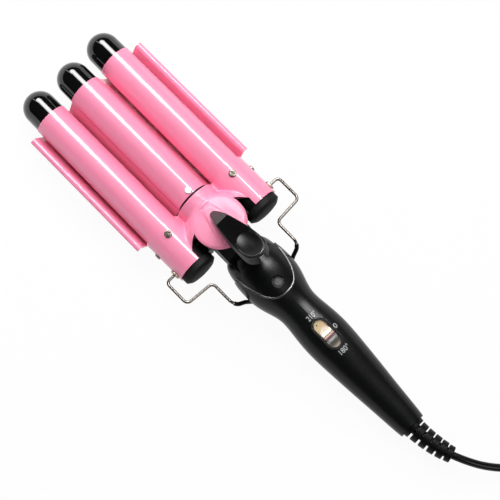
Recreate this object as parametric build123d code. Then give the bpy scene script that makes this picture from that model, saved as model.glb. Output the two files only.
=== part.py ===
from build123d import *
import math
import os

# Three-barrel hair waver.  The tool is drawn in its own frame (x = 0 at the front of the collars,
# +X towards the cord, the middle barrel's axis at y = 0, z = 0) and main() lays it down on the
# surface it rests on, where the cord is drawn.  Millimetres and degrees.

# ---- barrels ----
BARREL_R = 12.5
BARREL_REAR_R = 12.9
BARREL_WALL = 1.2
BARREL_Y = 30.0
BARREL_DROP = 5.0
OUTER_FRONT_X = -111.0
CENTER_FRONT_X = -108.2
BARREL_SOCKET = 13.0
TIP_LENGTH = 23.0
TIP_STEP = 0.4
TIP_DOME = 12.0
TIP_SPIGOT = 8.0
TIP_WALL = 2.0
HEATER_GAP = 4.0
HEATER_L = 80.0
HEATER_W = 14.0
HEATER_T = 4.0
SPREADER_WALL = 3.0
FIT = 0.05

# ---- wave plate that the outer barrels nest in ----
TROUGH_R = 14.6
WAVE_T = 1.5
PLATE_REAR_X = -1.0
SHIM_W = 15.8
SHIM_X1 = 0.6
SHIM_Z = (-12.0, -5.0)
WING_START = -28.0
WING_RUN = 8.5
LIP_R = 2.0
LIP_TURN = 122.0

# ---- upper jaw: collars, saddle, disc ----
COLLAR_WALL = 1.05
COLLAR_END_X = 33.8
SADDLE_X = 1.0
SADDLE_R = 15.0
SADDLE_GAP = 0.8
DISC_X = 26.5
DISC_R = 18.8
DISC_BASE_Z = 12.0
DISC_RIM = 2.0
DISC_DOME = 1.5
DISC_EDGE = 0.7
PLINTH = 0.9
PLINTH_MARGIN = 3.2
PLINTH_SLOPE_W = 1.8
PLINTH_TAPER = 0.27
PAD_FALL_SIDE = 1.05
PAD_FALL_FRONT = 2.3
PAD_ROUND = 2.2
BLEND = 2.4
VALLEY_Z = 0.5
SKIN_STATIONS = 27
SKIN_SAMPLES = 61
SKIN_FINE = 400
CUT_X = 27.0
CUT_Y = 26.4
CUT_ROUND = ((27.0, 26.4), (24.2, 23.6), (21.9, 20.6), (20.6, 17.0), (20.0, 13.0))
MARK_X = 4.4
MARK_L = 4.2
MARK_W = 4.0
MARK_BAR_T = 0.8
MARK_BAR_W = 5.2
MARK_RELIEF = 0.3
SKIN_LIFT = 0.25
SKIN_DIVE = 0.14
SKIN_REACH = 8.0
SKIN_EDGE = 2.6
SKIN_BOTTOM = -4.5
DECK_T = 1.7
CAP_BAND = 4.2
CAP_DOME = 3.1
CAP_CORNER = 2.6
DRUM_WALL = 2.5
POCKET_X = 12.5
POCKET_FRONT_Z = 4.5
POCKET_RAMP_X = 19.0
EAR_X0 = 13.4
EAR_X1 = 33.5

# ---- screws ----
CENTER_SCREW_X = -4.0
SCREW_R = 1.3
TOP_SCREW_X = 7.5
SIDE_SCREW_X = 11.0
HEAD_R = 2.7
SIDE_HEAD_R = 2.3
CENTER_HEAD_R = 2.43
HEAD_H = 1.1
HEAD_SINK = 0.1
HEAD_PLAY = 0.05
CROSS_W = 0.5
CROSS_DEPTH = 0.45
SHANK_L = 4.0
CENTER_SHANK_L = 5.0

# ---- hinge ----
HINGE_X = 26.0
HINGE_Z = 2.5
PIN_R = 2.5
JAW_OPEN = 20.0
NECK_W = 27.0
NECK_BOTTOM_Z = -13.0
NECK_SIDE_GAP = 0.4
EAR_Y = NECK_W / 2 + NECK_SIDE_GAP
EAR_T = 3.4
EAR_FOOT_Z = -8.0
NECK_CLEAR = 0.5
NECK_X0 = 18.0
NECK_REAR_X = 64.0
NECK_EDGE = 2.5
NECK_SPIGOT_L = 10.0
SPRING_R = 4.4
SPRING_WIRE = 0.8
SPRING_TURNS = 4.5
SPRING_LEG_RISE = 15.0
SPRING_TOP_LEG = 16.5
SPRING_LOW_LEG = 14.0
SPRING_L = 11.0
SPRING_ROOM_REAR = 16.0

# ---- thumb lever ----
LEVER_TIP = (18.4, 16.4)
LEVER_KNEE = (24.4, 23.5)
LEVER_BEND = (29.6, 28.0)
LEVER_REAR = (67.6, 47.0)
LEVER_WALL = 2.0
LEVER_DROP = 20.0
LEVER_SIDE_FLARE = 0.3
LEVER_TAIL_LEAN = 5.0
LEVER_SKIRT = 10.5
LEVER_HALF_W = 8.8
LEVER_NOSE = 15.0
LEVER_NOSE_L = 1.4
LEVER_NOSE_R = 2.1
LEVER_FLANK = ((-6.5, 4.0), (0.0, 5.4), (9.0, 7.0), (18.0, 8.2))
LEVER_SLOT_W = 4.8
LEVER_SLOT_DROP = 3.0
LEVER_HOLLOW_X = 44.0
LEVER_EDGE = 0.6
DISH_HALF_L = 11.0
DISH_HALF_W = 7.7
DISH_RIM = 1.0
DISH_DEPTH = 1.3
DISH_LEVEL = 0.57

# ---- handle: x, centre z, half width, half height ----
NOSE_X = 47.3
SHOULDER_X = 60.0
HANDLE_END_X = 211.0
HANDLE = (
    (60.0, -7.5, 19.4, 18.8),
    (69.0, -7.5, 20.5, 19.6),
    (78.0, -8.5, 20.4, 19.0),
    (88.5, -10.0, 18.0, 17.2),
    (99.5, -11.0, 14.9, 15.0),
    (112.0, -12.0, 15.4, 14.9),
    (126.0, -13.0, 16.6, 15.2),
    (146.0, -15.4, 15.9, 14.6),
    (168.0, -18.8, 14.1, 13.0),
    (190.0, -22.0, 12.1, 11.4),
    (205.0, -23.8, 10.8, 10.4),
    (211.0, -24.4, 10.0, 9.7),
)
NOSE = (
    (47.3, -7.0, 14.0, 8.5),
    (50.5, -7.3, 16.6, 13.6),
    (54.5, -7.5, 17.9, 17.0),
    (62.0, -7.5, 18.9, 19.0),
)
SHELL_WALL = 2.2
END_WALL = 2.5
REACH = 60.0
SEAM = 0.4
TONGUE_END_X = 90.2
TONGUE_HALF_W = 17.4
TONGUE_STEPS = ((60.0, 0.0), (79.5, 3.8), (87.0, 8.2))
TONGUE_LOW_Z = -4.0
BOSS_R = 3.2
BOSSES = (100.0, 156.0, 192.0)
BOSS_SINK = 2.6
BOARD_LEG_R = 2.6
BEAD_R = 0.75
BEAD_OFF = 0.8

# ---- switch ----
SWITCH_X = 129.2
SLOT_DEPTH = 0.9
SLOT_L = 24.6
SLOT_W = 11.0
LIP_L = 26.0
LIP_W = 12.4
LIP_TOP = -0.1
LIP_ROUND = 0.45
WINDOW_L = 22.4
WINDOW_W = 8.8
SWITCH_TRAVEL = 4.5
KNOB_L = 11.2
KNOB_W = 7.8
KNOB_X = 0.6
KNOB_PROFILE = ((-5.0, 0.7), (-1.6, 0.9), (0.4, 1.8), (0.7, 1.1), (1.9, 1.1), (2.2, 1.9), (3.0, 1.9),
                (4.4, 0.8), (6.2, 0.3))
SLIDER_X0 = -5.2
SLIDER_X1 = 15.4
SLIDER_W = 9.6
SLIDER_T = 0.55
SLIDER_SPACE = 0.08
STEM_X = 3.0
STEM_L = 3.0
STEM_W = 2.0
STEM_GAP = 0.2
PLATE_Z = -2.6
PLATE_T = 0.6
PLATE_HOLE = (-8.6, -1.3, 0.55)
BODY_L = 26.0
BODY_W = 12.0
BOARD_Z = -13.5
BOARD_T = 1.6
BOARD_L = 42.0
BOARD_W = 19.0
BOARD_EDGE = 3.2
BOARD_POST_X = BOARD_L / 2 - BOARD_EDGE
BOARD_POST_Y = BOARD_W / 2 - BOARD_EDGE
BOARD_POSTS = [(x, y) for x in (BOARD_POST_X, -BOARD_POST_X) for y in (BOARD_POST_Y, -BOARD_POST_Y)]
LENS_X = 82.4
LENS_R = 2.4
LENS_WELL_R = 4.1

# ---- stand ----
WIRE_R = 1.02
PIVOT_PLAY = 0.08
PIVOT_DEPTH = 10.6
SLEEVE_R = 1.5
STAND_X = 28.2
WASHER_R = 3.5
WASHER_T = 1.2
STAND_OUT_Y = 52.5
STAND_IN_Y = 30.3
STAND_TURN_X = 48.5
SLEEVE_CORNER_X = 71.3
SLEEVE_X = 69.8
CRADLE_X = 77.6
CRADLE_GAP = 0.5
STAND_RADII = (3.0, 3.5, 3.5, 7.0, 6.0, 7.0, 7.0)

# ---- cord ----
RELIEF_L = 32.8
RELIEF_BEND = 19.0
RELIEF_CORE = ((-4.0, 4.8), (8.0, 3.7), (20.0, 3.6), (32.3, 3.5))
RELIEF_RINGS = ((-1.0, 2.7, 8.0), (4.0, 8.9, 7.5), (10.3, 15.2, 7.2), (16.6, 21.4, 6.9), (22.7, 27.3, 6.5),
                (28.6, 32.7, 5.9))
RELIEF_TAPER = 0.25
RELIEF_ROUND = 0.5
RELIEF_WEB = 2.6
RELIEF_WEB_DROP = 1.2
CORD_R = 2.7
# Points of the cord after the relief, from the resting surface (z = 0), in the laid-down frame.
CORD_ROUTE = ((198.0, 9.4, 12.3), (212.0, 19.5, 7.6), (228.0, 34.8, 4.2), (243.0, 50.3, 3.5),
              (255.7, 63.4, 3.5))
COIL_CENTER = (286.4, 32.7)
COIL_R = 32.4
COIL_PITCH = 5.5
COIL_TURNS_WIDE = 4
COIL_ROWS = 2
TIE_T = 0.8
TIE_W = 9.0
TIE_ANGLE = 225.0
TAIL_ROUTE = ((308.1, 70.3, 8.9), (318.9, 64.7, 8.3), (330.6, 57.3, 7.0))
PLUG_HEADING = -31.0
PLUG_L = 25.0
PLUG_NECK = 12.0
PLUG_W = 34.0
PLUG_T = 13.7
PLUG_WAIST = 6.0
PLUG_THIN = 10.0
PLUG_EDGE = 3.0
PLUG_RIBS = 4
PLUG_RIB_PITCH = 2.6
PLUG_PIN_R = 2.0
PLUG_PIN_L = 19.0
PLUG_PIN_SPACING = 18.6


# ---- helpers ----
def rod(r, x0, x1, y=0.0, z=0.0):
    """Round bar along X."""
    return Pos((x0 + x1) / 2, y, z) * Rot(0, 90, 0) * Cylinder(r, x1 - x0)


def cross_rod(r, y0, y1, x=0.0, z=0.0):
    """Round bar along Y."""
    return Pos(x, (y0 + y1) / 2, z) * Rot(90, 0, 0) * Cylinder(r, y1 - y0)


def post(r, z0, z1, x=0.0, y=0.0):
    """Round bar along Z."""
    return Pos(x, y, (z0 + z1) / 2) * Cylinder(r, z1 - z0)


def block(x0, x1, y0, y1, z0, z1):
    return Pos((x0 + x1) / 2, (y0 + y1) / 2, (z0 + z1) / 2) * Box(x1 - x0, y1 - y0, z1 - z0)


def turned(points, x=0.0, y=0.0, z=0.0):
    """Solid of revolution about X from (x, r) points, closed along the axis."""
    outline = Polyline(*points, close=True)
    return Pos(x, y, z) * revolve(make_face(outline), Axis.X)


def side_prism(points, half_width):
    """Outline in the XZ plane, carried across both sides of y = 0."""
    face = make_face(Plane.XZ * Polyline(*points, close=True))
    return extrude(face, half_width, both=True)


def mirrored(solid):
    return mirror(solid, about=Plane.XZ)


def both_sides(solid):
    return [solid, mirrored(solid)]


def handle_at(x):
    """Centre height, half width and half height of the handle at x."""
    for a, b in zip(HANDLE, HANDLE[1:]):
        if a[0] <= x <= b[0]:
            t = (x - a[0]) / (b[0] - a[0])
            return tuple(p + t * (q - p) for p, q in zip(a[1:], b[1:]))
    return HANDLE[-1][1:]


# ---- barrels and tips ----
def outer_barrel(side):
    y, z, end = side * BARREL_Y, -BARREL_DROP, BARREL_SOCKET
    skin = turned([(OUTER_FRONT_X, 0), (OUTER_FRONT_X, BARREL_R), (0, BARREL_REAR_R), (end, BARREL_REAR_R),
                   (end, 0)])
    tube = skin - rod(BARREL_R - BARREL_WALL, OUTER_FRONT_X - 1, end + 1)
    tube = Pos(0, y, z) * tube
    return tube - top_screw_hole(side) - side_screw_hole(side)


def tip(front_x, y, z):
    """Domed cap with a hollow spigot that plugs into the barrel's mouth."""
    r = BARREL_R - TIP_STEP
    dome_x = front_x - TIP_LENGTH + TIP_DOME
    spigot_r = BARREL_R - BARREL_WALL - FIT
    rear_x = front_x + TIP_SPIGOT
    outline = Polyline((front_x - TIP_LENGTH, 0), (rear_x, 0), (rear_x, spigot_r), (front_x, spigot_r),
                       (front_x, r), (dome_x, r - 0.1))
    dome = EllipticalCenterArc((dome_x, 0), TIP_DOME, r - 0.1, 90, arc_size=90)
    body = revolve(make_face(outline + dome), Axis.X)
    hollow = rod(spigot_r - TIP_WALL, dome_x, front_x + TIP_SPIGOT + 1)
    return Pos(0, y, z) * (body - hollow)


def heater(front_x, y, z):
    """Flat heating element between two half-round spreaders that press on the barrel's bore."""
    bore = BARREL_R - BARREL_WALL - FIT
    x0 = front_x + TIP_SPIGOT + HEATER_GAP
    x1 = x0 + HEATER_L
    plate = block(x0 + HEATER_GAP, x1 - HEATER_GAP, -HEATER_W / 2, HEATER_W / 2, -HEATER_T / 2, HEATER_T / 2)
    seat = HEATER_T / 2 + FIT
    ring = rod(bore, x0, x1) - rod(bore - SPREADER_WALL, x0 - 1, x1 + 1)
    pads = block(x0, x1, -HEATER_W / 2, HEATER_W / 2, -bore, bore) & rod(bore, x0, x1)
    spreaders = ring + pads - block(x0 - 1, x1 + 1, -bore, bore, -seat, seat)
    return [Pos(0, y, z) * plate, Pos(0, y, z) * spreaders]


# ---- lower jaw ----
def wave_profile():
    """Centre line of one wing in the YZ plane: flank, trough, outer wall and rolled lip."""
    r = TROUGH_R + WAVE_T / 2
    start = Vector(BARREL_R - BARREL_WALL / 2, -1.0)
    axis = Vector(BARREL_Y, -BARREL_DROP)
    span = axis - start
    lead = math.degrees(math.atan2(-span.Y, -span.X)) % 360 + math.degrees(math.acos(r / span.length))
    flank_end = axis + Vector(r, 0).rotate(Axis.Z, lead)
    trough = CenterArc((axis.X, axis.Y), r, lead, 360 + WING_START - lead)
    wing_a = axis + Vector(r, 0).rotate(Axis.Z, WING_START)
    heading = 90 + WING_START
    wing_b = wing_a + Vector(WING_RUN, 0).rotate(Axis.Z, heading)
    lip_axis = wing_b + Vector(LIP_R, 0).rotate(Axis.Z, heading - 90)
    lip = CenterArc((lip_axis.X, lip_axis.Y), LIP_R, heading + 90, -LIP_TURN)
    return Curve() + [Line(start, flank_end), trough, Line(wing_a, wing_b), lip]


def lower_jaw():
    length = PLATE_REAR_X - CENTER_FRONT_X
    wing = Plane.YZ.offset(CENTER_FRONT_X) * trace(wave_profile(), WAVE_T)
    wing = extrude(wing, length)
    bore = BARREL_R - BARREL_WALL
    jaw = rod(BARREL_R, CENTER_FRONT_X, PLATE_REAR_X) + wing + mirrored(wing)
    jaw -= rod(bore, CENTER_FRONT_X - 1, PLATE_REAR_X + 1)
    jaw -= post(SCREW_R + FIT, 0, 20, CENTER_SCREW_X)
    return jaw - post(CENTER_HEAD_R + HEAD_PLAY, BARREL_R - HEAD_SINK, BARREL_R + 3, CENTER_SCREW_X)


def screw(head_r, length):
    """Pan-head screw, head up, seat at z = 0."""
    head = Cylinder(head_r, HEAD_H, align=(Align.CENTER, Align.CENTER, Align.MIN))
    head = fillet(head.edges().group_by(Axis.Z)[-1], HEAD_H * 0.7)
    arm = 1.1 * head_r
    cross = Box(arm, CROSS_W, 2 * CROSS_DEPTH) + Box(CROSS_W, arm, 2 * CROSS_DEPTH)
    shank = Cylinder(SCREW_R, length, align=(Align.CENTER, Align.CENTER, Align.MAX))
    return head - Pos(0, 0, HEAD_H) * cross + shank


def collar_r():
    return BARREL_REAR_R + FIT + COLLAR_WALL


def outwards(r, side, near, far, x):
    """Round bar along Y at an outer barrel's height, from near to far outside the barrel's axis."""
    ends = sorted((side * (BARREL_Y + near), side * (BARREL_Y + far)))
    return cross_rod(r, *ends, x, -BARREL_DROP)


def top_screw_hole(side):
    return post(SCREW_R + FIT, 0, 20, TOP_SCREW_X, side * BARREL_Y)


def side_screw_hole(side):
    return outwards(SCREW_R + FIT, side, 0, 20, SIDE_SCREW_X)


def head_seat_r():
    return collar_r() - HEAD_SINK


def head_seats():
    """Flats that the collar screws' heads sit on."""
    seat = head_seat_r()
    spots = []
    for side in (1, -1):
        top = post(HEAD_R + HEAD_PLAY, seat - BARREL_DROP, seat + 3, TOP_SCREW_X, side * BARREL_Y)
        spots += [top, outwards(SIDE_HEAD_R + HEAD_PLAY, side, seat, seat + 3, SIDE_SCREW_X)]
    return spots


def collar_screws():
    seat = head_seat_r()
    made = []
    for side in (1, -1):
        made.append(Pos(TOP_SCREW_X, side * BARREL_Y, seat - BARREL_DROP) * screw(HEAD_R, SHANK_L))
        spot = Pos(SIDE_SCREW_X, side * (BARREL_Y + seat), -BARREL_DROP) * Rot(-90 * side, 0, 0)
        made.append(spot * screw(SIDE_HEAD_R, SHANK_L))
    return made


def center_screw():
    seat = Pos(CENTER_SCREW_X, 0, BARREL_R - HEAD_SINK)
    return seat * screw(CENTER_HEAD_R, CENTER_SHANK_L)


# ---- upper jaw ----
def collars():
    r = collar_r()
    collar = rod(r, 0, COLLAR_END_X, BARREL_Y, -BARREL_DROP)
    return collar + mirrored(collar)


def smooth_max(a, b):
    """The larger of two heights, rounded off where they are close."""
    near = max(0.0, BLEND - abs(a - b)) / BLEND
    return max(a, b) + near * near * BLEND / 4


def ease(t):
    """Smooth step from 0 to 1."""
    t = min(1.0, max(0.0, t))
    return t * t * (3 - 2 * t)


def plinth_height(x, y):
    """Low plinth on the pad that follows the lever's outline."""
    nose_x = LEVER_TIP[0] - LEVER_NOSE_R
    half_w = LEVER_NOSE_R + PLINTH_TAPER * max(0.0, x - nose_x)
    beyond = math.hypot(max(0.0, nose_x - x), max(0.0, abs(y) - half_w))
    return PLINTH * ease((PLINTH_MARGIN - beyond) / PLINTH_SLOPE_W)


def pad_height(x, y):
    """Domed pad, falling off evenly beyond its rim."""
    r = math.hypot(x - DISC_X, y)
    ball = (DISC_R ** 2 + DISC_DOME ** 2) / (2 * DISC_DOME)
    rim = DISC_BASE_Z + DISC_RIM
    inside = min(r, DISC_R)
    fall = PAD_FALL_SIDE + PAD_FALL_FRONT * ((x - DISC_X) / max(r, 1.0)) ** 2
    turn = min(2 * PAD_ROUND, max(0.0, r - DISC_R + PAD_ROUND))
    beyond = max(0.0, r - DISC_R - PAD_ROUND) + turn * turn / (4 * PAD_ROUND)
    crown = rim + DISC_DOME - ball + math.sqrt(ball ** 2 - inside ** 2)
    return crown + plinth_height(x, y) - fall * beyond


def skin_height(x, y):
    """Top of the pink moulding between the collars' crowns: saddle, pad and the collars' flanks."""
    half_chord = BARREL_Y - abs(y)
    crown = collar_r()
    flank = math.sqrt(max(0.0, crown ** 2 - half_chord ** 2)) - BARREL_DROP
    flank += SKIN_LIFT - SKIN_DIVE * max(0.0, abs(y) - BARREL_Y + SKIN_REACH)
    saddle = math.sqrt(max(0.0, SADDLE_R ** 2 - y * y))
    return smooth_max(smooth_max(pad_height(x, y), saddle), smooth_max(flank, VALLEY_Z))


def evenly_spaced(points, count):
    """Count points at equal runs along the polyline through the given ones."""
    run = [0.0]
    for a, b in zip(points, points[1:]):
        run.append(run[-1] + math.dist(a, b))
    picked = []
    k = 0
    for n in range(count):
        goal = run[-1] * n / (count - 1)
        while k < len(run) - 2 and run[k + 1] < goal:
            k += 1
        t = (goal - run[k]) / (run[k + 1] - run[k])
        picked.append(tuple(p + t * (q - p) for p, q in zip(points[k], points[k + 1])))
    return picked


def skin_section(x):
    """Section of the moulding in the YZ plane at x, down to below the barrels' gaps."""
    edge = BARREL_Y - SKIN_EDGE
    ys = [edge * (2 * k / SKIN_FINE - 1) for k in range(SKIN_FINE + 1)]
    picked = evenly_spaced([(y, skin_height(x, y)) for y in ys], SKIN_SAMPLES)
    low = Polyline(picked[0], (-edge, SKIN_BOTTOM), (edge, SKIN_BOTTOM), picked[-1])
    return Plane.YZ.offset(x) * make_face(Spline(*picked) + low)


def bridge_skin():
    """Saddle, pad and the webs that run into the collars, as one smooth body."""
    end = DISC_X + DISC_R + 1
    xs = [SADDLE_X + (end - SADDLE_X) * k / (SKIN_STATIONS - 1) for k in range(SKIN_STATIONS)]
    return loft([skin_section(x) for x in xs])


def pad():
    """The pad's own volume, for what stands on it."""
    return bridge_skin() & post(DISC_R, DISC_BASE_Z, DISC_BASE_Z + 10, DISC_X)


def jaw_notches():
    """What is cut away beside and behind the pad, down past the collars' flanks."""
    side = Spline(*CUT_ROUND)
    behind = DISC_X + DISC_R + 3
    rest = Polyline(CUT_ROUND[-1], (CUT_ROUND[-1][0], 0), (behind, 0), (behind, CUT_Y), CUT_ROUND[0])
    notch = Pos(0, 0, -30) * extrude(make_face(side + rest), 60)
    notch += block(COLLAR_END_X, behind, 0, BARREL_Y, -30, 30)
    return notch + mirrored(notch) - post(DISC_R, DISC_BASE_Z, 40, DISC_X)


def chassis_cut():
    """Room for the black frame, the middle barrel's end and the neck inside the pink shell."""
    r = BARREL_REAR_R + FIT
    side = EAR_Y + EAR_T + FIT
    bore = rod(r, -1, COLLAR_END_X + 1, BARREL_Y, -BARREL_DROP)
    cut = bore + mirrored(bore)
    core = BARREL_R + SADDLE_GAP
    cut += rod(core, SADDLE_X - 1, POCKET_RAMP_X) + block(SADDLE_X - 1, POCKET_X, -core, core, -20, 0)
    roof = [(POCKET_X, -30), (POCKET_X, POCKET_FRONT_Z), (POCKET_RAMP_X, DISC_BASE_Z), (60, DISC_BASE_Z),
            (60, -30)]
    return cut + side_prism(roof, side)


def rounded_rim(skin):
    """The skin with the edge of its pad taken off."""
    def on_rim(edge):
        spots = [edge @ t for t in (0.1, 0.5, 0.9)]
        off = max(abs(math.hypot(p.X - DISC_X, p.Y) - DISC_R) for p in spots)
        return off < FIT and min(p.Z for p in spots) > DISC_BASE_Z + 1
    return fillet(skin.edges().filter_by(on_rim), DISC_EDGE)


def bridge_shell():
    body = collars() + rounded_rim(bridge_skin() - jaw_notches())
    body -= jaw_notches()
    body -= chassis_cut()
    for side in (1, -1):
        body -= top_screw_hole(side)
        body -= side_screw_hole(side)
        body -= pivot_hole(side)
    for spot in head_seats():
        body -= spot
    end = MARK_X + MARK_L
    low, high = SADDLE_R - MARK_RELIEF, SADDLE_R + MARK_RELIEF
    body -= block(MARK_X, end, -MARK_W / 2, MARK_W / 2, low, SADDLE_R + 1)
    return body + block(end, end + MARK_BAR_T, -MARK_BAR_W / 2, MARK_BAR_W / 2, SADDLE_R - 1, high)


def pivot_hole(side):
    return outwards(WIRE_R + PIVOT_PLAY, side, 8, 20, STAND_X)


def under_frame():
    """Black chassis: a drum in each collar, two hinge ears and the deck that joins them."""
    r = BARREL_REAR_R
    frame = Part()
    for side in (1, -1):
        y = side * BARREL_Y
        drum = rod(r, BARREL_SOCKET + 0.3, COLLAR_END_X, y, -BARREL_DROP)
        frame += drum - rod(r - DRUM_WALL, BARREL_SOCKET - 1, COLLAR_END_X + 1, y, -BARREL_DROP)
        frame -= pivot_hole(side)
        ear = side_prism([(EAR_X0, EAR_FOOT_Z), (EAR_X0, POCKET_FRONT_Z + 0.8), (POCKET_RAMP_X, DISC_BASE_Z),
                          (EAR_X1, DISC_BASE_Z), (EAR_X1, EAR_FOOT_Z)], EAR_T / 2)
        frame += Pos(0, side * (EAR_Y + EAR_T / 2), 0) * ear
    frame += block(POCKET_RAMP_X, EAR_X1, -EAR_Y, EAR_Y, DISC_BASE_Z - DECK_T, DISC_BASE_Z)
    web = block(CUT_X - 2, COLLAR_END_X, EAR_Y, BARREL_Y - r + 3, -12, 3)
    inside = rod(r - 1, BARREL_SOCKET, COLLAR_END_X + 1, BARREL_Y, -BARREL_DROP)
    web -= inside
    frame += web
    frame += mirrored(web)
    frame -= cross_rod(PIN_R + FIT, -30, 30, HINGE_X, HINGE_Z)
    return frame


def end_cap(side):
    """Plug with a short band and a shallow crown; its spigot fits in the frame's drum."""
    r = BARREL_REAR_R
    spigot_r = r - DRUM_WALL - FIT
    x0 = COLLAR_END_X + FIT
    x1 = x0 + CAP_BAND
    rim_x, rim_r = x1 + CAP_DOME * 0.6, r - CAP_CORNER
    rise = CAP_DOME * 0.4
    crown_r = (rim_r ** 2 + rise ** 2) / (2 * rise)
    crown_x = rim_x + rise - crown_r
    sweep_angle = math.degrees(math.asin(rim_r / crown_r))
    edge = Polyline((rim_x + rise, 0), (x0 - 6, 0), (x0 - 6, spigot_r), (x0, spigot_r), (x0, r), (x1, r),
                    (x1 + 0.5, r - 0.6), (rim_x, rim_r))
    crown = CenterArc((crown_x, 0), crown_r, sweep_angle, -sweep_angle)
    body = revolve(make_face(edge + crown), Axis.X)
    return Pos(0, side * BARREL_Y, -BARREL_DROP) * body


# ---- hinge ----
def neck():
    """Bar from the handle to the middle barrel; its top falls away behind the hinge."""
    lean = math.radians(JAW_OPEN)
    reach = DISC_BASE_Z - DECK_T - HINGE_Z - NECK_CLEAR
    top = HINGE_Z + reach
    knee_x = HINGE_X + reach * math.tan(lean / 2)
    slope_end = NOSE_X + 1
    slope_z = top - (slope_end - knee_x) * math.tan(lean)
    profile = [(NECK_X0, NECK_BOTTOM_Z), (NECK_X0, top), (knee_x, top), (slope_end, slope_z),
               (NECK_REAR_X, slope_z), (NECK_REAR_X, NECK_BOTTOM_Z)]
    bar = side_prism(profile, NECK_W / 2)
    bar = chamfer(bar.edges().filter_by(Axis.X).group_by(Axis.Z)[0], NECK_EDGE)
    spigot_r = BARREL_R - BARREL_WALL - FIT
    spigot = rod(spigot_r, PLATE_REAR_X - NECK_SPIGOT_L, NECK_X0 + 1)
    bar += spigot - block(SADDLE_X + 1, NECK_X0 + 2, -20, 20, top, 20)
    bar += rod(BARREL_R - 0.3, PLATE_REAR_X + FIT, SADDLE_X + 0.6)
    bar += block(PLATE_REAR_X + FIT, SHIM_X1, -SHIM_W, SHIM_W, *SHIM_Z)
    bar -= cross_rod(PIN_R + FIT, -20, 20, HINGE_X, HINGE_Z)
    room_w = SPRING_L / 2 + NECK_SIDE_GAP
    room_z = HINGE_Z - SPRING_R - SPRING_WIRE - FIT
    bar -= block(HINGE_X - SPRING_R - 2, HINGE_X + SPRING_ROOM_REAR, -room_w, room_w, room_z, 20)
    return bar - post(SCREW_R + FIT, 0, 20, CENTER_SCREW_X)


def hinge_pin():
    half = EAR_Y + EAR_T
    pin = cross_rod(PIN_R, -half, half, HINGE_X, HINGE_Z)
    return chamfer(pin.edges(), 0.3)


def return_spring():
    """Torsion spring round the hinge pin; its legs bear on the neck and lift the pad's underside."""
    turns = SPRING_TURNS - SPRING_LEG_RISE / 360
    pitch = (SPRING_L - 2 * SPRING_WIRE) / SPRING_TURNS
    coil = Rot(0, 0, 90 + SPRING_LEG_RISE) * Helix(pitch, pitch * turns, SPRING_R)
    coil = Rot(90, 0, 0) * Pos(0, 0, -pitch * turns / 2) * coil
    upper, lower = coil @ 0, coil @ 1
    lifted = Vector(1, 0, 0).rotate(Axis.Y, -SPRING_LEG_RISE)
    legs = Line(upper + lifted * SPRING_TOP_LEG, upper), Line(lower, lower + Vector(SPRING_LOW_LEG, 0, 0))
    path = Wire([legs[0].edge(), coil.edge(), legs[1].edge()])
    section = Plane(path @ 0, z_dir=path % 0) * Circle(SPRING_WIRE)
    return Pos(HINGE_X, 0, HINGE_Z) * sweep(section, path=path, transition=Transition.TRANSFORMED)


# ---- thumb lever ----
def lever_frame():
    """Plane on the lever's upper face: X runs up the slope, Z stands on the face."""
    lean = math.atan2(LEVER_REAR[1] - LEVER_BEND[1], LEVER_REAR[0] - LEVER_BEND[0])
    cos, sin = math.cos(lean), math.sin(lean)
    return Plane(origin=(LEVER_BEND[0], 0, LEVER_BEND[1]), x_dir=(cos, 0, sin), z_dir=(-sin, 0, cos))


def lever_length():
    return math.dist(LEVER_REAR, LEVER_BEND)


def lever_plan(inset, tail=0.0):
    """Outline of the upper face: narrow nose, widening to a rounded rear end."""
    w = LEVER_HALF_W - inset
    end = lever_length() - inset + tail
    nose = -LEVER_NOSE + inset
    turn_x = end - LEVER_HALF_W
    shoulder = nose + LEVER_NOSE_L
    flank = Spline((shoulder, LEVER_NOSE_R), *[(x, y - inset) for x, y in LEVER_FLANK], (turn_x, w))
    back = ThreePointArc((turn_x, w), (end, 0), (turn_x, -w))
    nose_arc = ThreePointArc((shoulder, -LEVER_NOSE_R), (nose, 0), (shoulder, LEVER_NOSE_R))
    return make_face(flank + mirror(flank, about=Plane.XZ) + back + nose_arc)


def flared(inset):
    """The lever's outline carried down from its face, a little wider below and nearly upright behind."""
    plane = lever_frame()
    low = plane * Pos(0, 0, -LEVER_DROP) * lever_plan(inset - LEVER_SIDE_FLARE, -LEVER_TAIL_LEAN)
    return loft([plane * lever_plan(inset), low])


def dish():
    """Shallow oval that the thumb rests in."""
    part_shown = math.sqrt(1 - DISH_LEVEL ** 2)
    height = DISH_DEPTH / (1 - DISH_LEVEL)
    bowl = scale(Sphere(1), by=(DISH_HALF_L / part_shown, DISH_HALF_W / part_shown, height))
    center = lever_length() - DISH_RIM - DISH_HALF_L
    return Location(lever_frame()) * Pos(center, 0, height * DISH_LEVEL) * bowl


def lever_side():
    """Side view of the lever between its face and the foot of its skirt."""
    slope = (LEVER_REAR[1] - LEVER_BEND[1]) / (LEVER_REAR[0] - LEVER_BEND[0])
    far = LEVER_REAR[0] + 8
    far_z = LEVER_REAR[1] + (far - LEVER_REAR[0]) * slope
    foot = LEVER_TIP[0] - 8
    heel = (LEVER_HOLLOW_X + 6, LEVER_BEND[1] - 2)
    face = [LEVER_TIP, LEVER_KNEE, LEVER_BEND, (far, far_z)]
    skirt_foot = [(far, far_z - LEVER_SKIRT - 2), heel, (LEVER_HOLLOW_X - 3, DISC_BASE_Z)]
    return [(foot, DISC_BASE_Z)] + face + skirt_foot


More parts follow.
